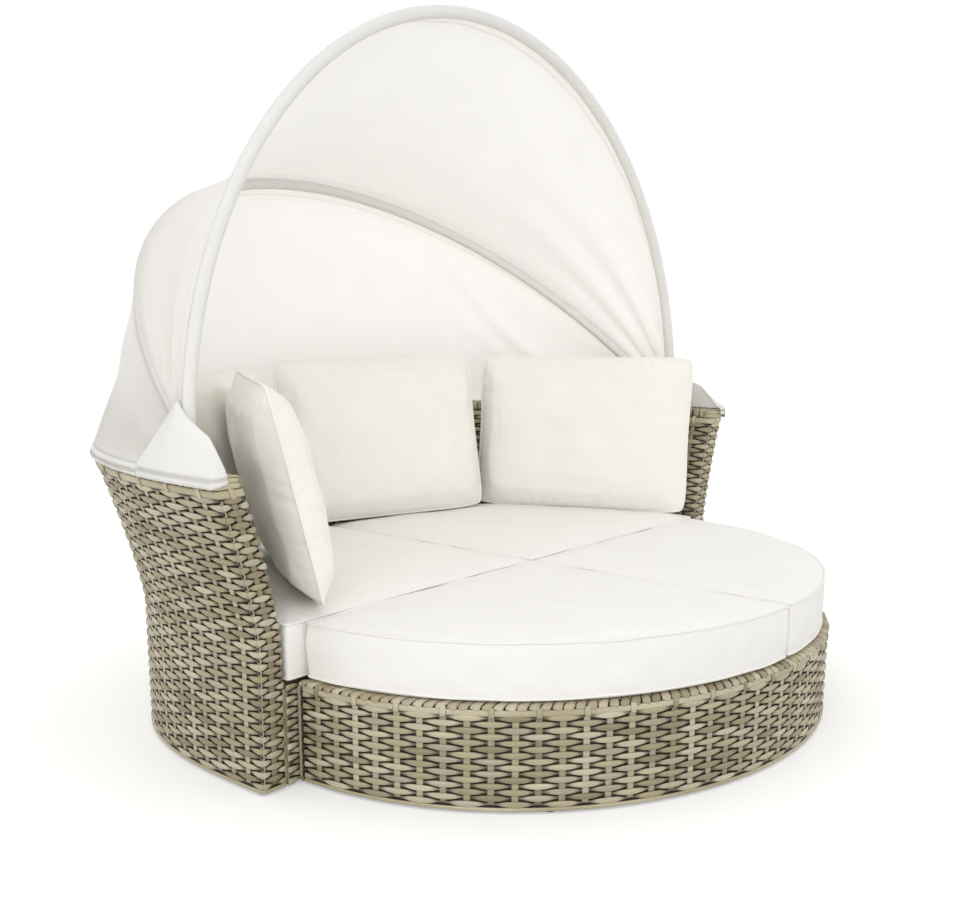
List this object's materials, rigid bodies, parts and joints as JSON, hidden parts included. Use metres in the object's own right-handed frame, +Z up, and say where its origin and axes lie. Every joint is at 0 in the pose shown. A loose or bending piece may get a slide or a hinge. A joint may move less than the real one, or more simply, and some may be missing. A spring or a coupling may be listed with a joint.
{
  "type": "outdoor daybed",
  "caption": "Round woven daybed: a sofa half with a flared back, a half-moon ottoman that slides away, thick seat cushions, back pillows and a cloth canopy on folding hoops.",
  "frame": {"origin": "on the floor, under the middle of the outline of sofa and ottoman together", "axes": "+X across to the right of someone facing the daybed from the ottoman, +Y towards the back, +Z up"},
  "size_m": [2, 1.76, 1.6801],
  "materials": {
    "weave": "flat half-round strands woven over upright stakes, satin",
    "frame": "powder-coated",
    "hoop": "satin powder-coated tube",
    "steel": "stainless, plain",
    "glide": "moulded, dull",
    "cushion": "plain woven outdoor cloth with piped seams",
    "canopy": "plain woven outdoor cloth"
  },
  "bodies": {
    "sofa": {"sofa_floor_ring": "frame", "sofa_seat_ring": "frame", "sofa_back_frame": "frame", "sofa_seat_deck": "weave", "outer_back_weave": "weave", "inner_back_weave": "weave", "back_rim_weave": "weave", "right_arm_end_weave": "weave", "left_arm_end_weave": "weave", "sofa_front_weave": "weave", "sofa_glide_1": "glide", "sofa_glide_2": "glide", "sofa_glide_3": "glide", "sofa_glide_4": "glide", "sofa_glide_5": "glide", "sofa_glide_6": "glide", "right_canopy_bracket": "steel", "right_pivot_bolt": "steel", "right_outer_spacer": "steel", "right_inner_spacer": "steel", "right_cap_nut": "steel", "left_canopy_bracket": "steel", "left_pivot_bolt": "steel", "left_outer_spacer": "steel", "left_inner_spacer": "steel", "left_cap_nut": "steel", "canopy_skirt": "canopy", "right_canopy_flap": "canopy", "left_canopy_flap": "canopy", "right_sofa_cushion": "cushion", "left_sofa_cushion": "cushion", "right_side_pillow": "cushion", "right_back_pillow": "cushion", "left_back_pillow": "cushion", "left_side_pillow": "cushion"},
    "ottoman": {"ottoman_floor_ring": "frame", "ottoman_top_ring": "frame", "ottoman_deck": "weave", "ottoman_side_weave": "weave", "ottoman_edge_weave": "weave", "ottoman_back_weave": "weave", "ottoman_glide_1": "glide", "ottoman_glide_2": "glide", "ottoman_glide_3": "glide", "ottoman_glide_4": "glide", "ottoman_glide_5": "glide", "right_ottoman_cushion": "cushion", "left_ottoman_cushion": "cushion"},
    "middle_hoop": {"middle_hoop_tube": "hoop", "canopy_rear_panel": "canopy"},
    "front_hoop": {"front_hoop_tube": "hoop", "canopy_front_panel": "canopy"}
  },
  "joints": [
    {"name": "middle_hoop_fold", "type": "hinge", "parent": "sofa", "child": "middle_hoop", "pos_m": [0, -0.003, 0.695], "axis": [-1, 0, 0], "range_deg": [0, 41], "deforming": ["canopy_rear_panel", "right_canopy_flap", "left_canopy_flap"]},
    {"name": "front_hoop_fold", "type": "hinge", "parent": "middle_hoop", "child": "front_hoop", "pos_m": [0, -0.003, 0.695], "axis": [-1, 0, 0], "range_deg": [0, 46], "deforming": ["canopy_front_panel"]},
    {"name": "ottoman_slide", "type": "slide", "parent": "sofa", "child": "ottoman", "axis": [0, -1, 0], "range_m": [0, 0.6]}
  ]
}
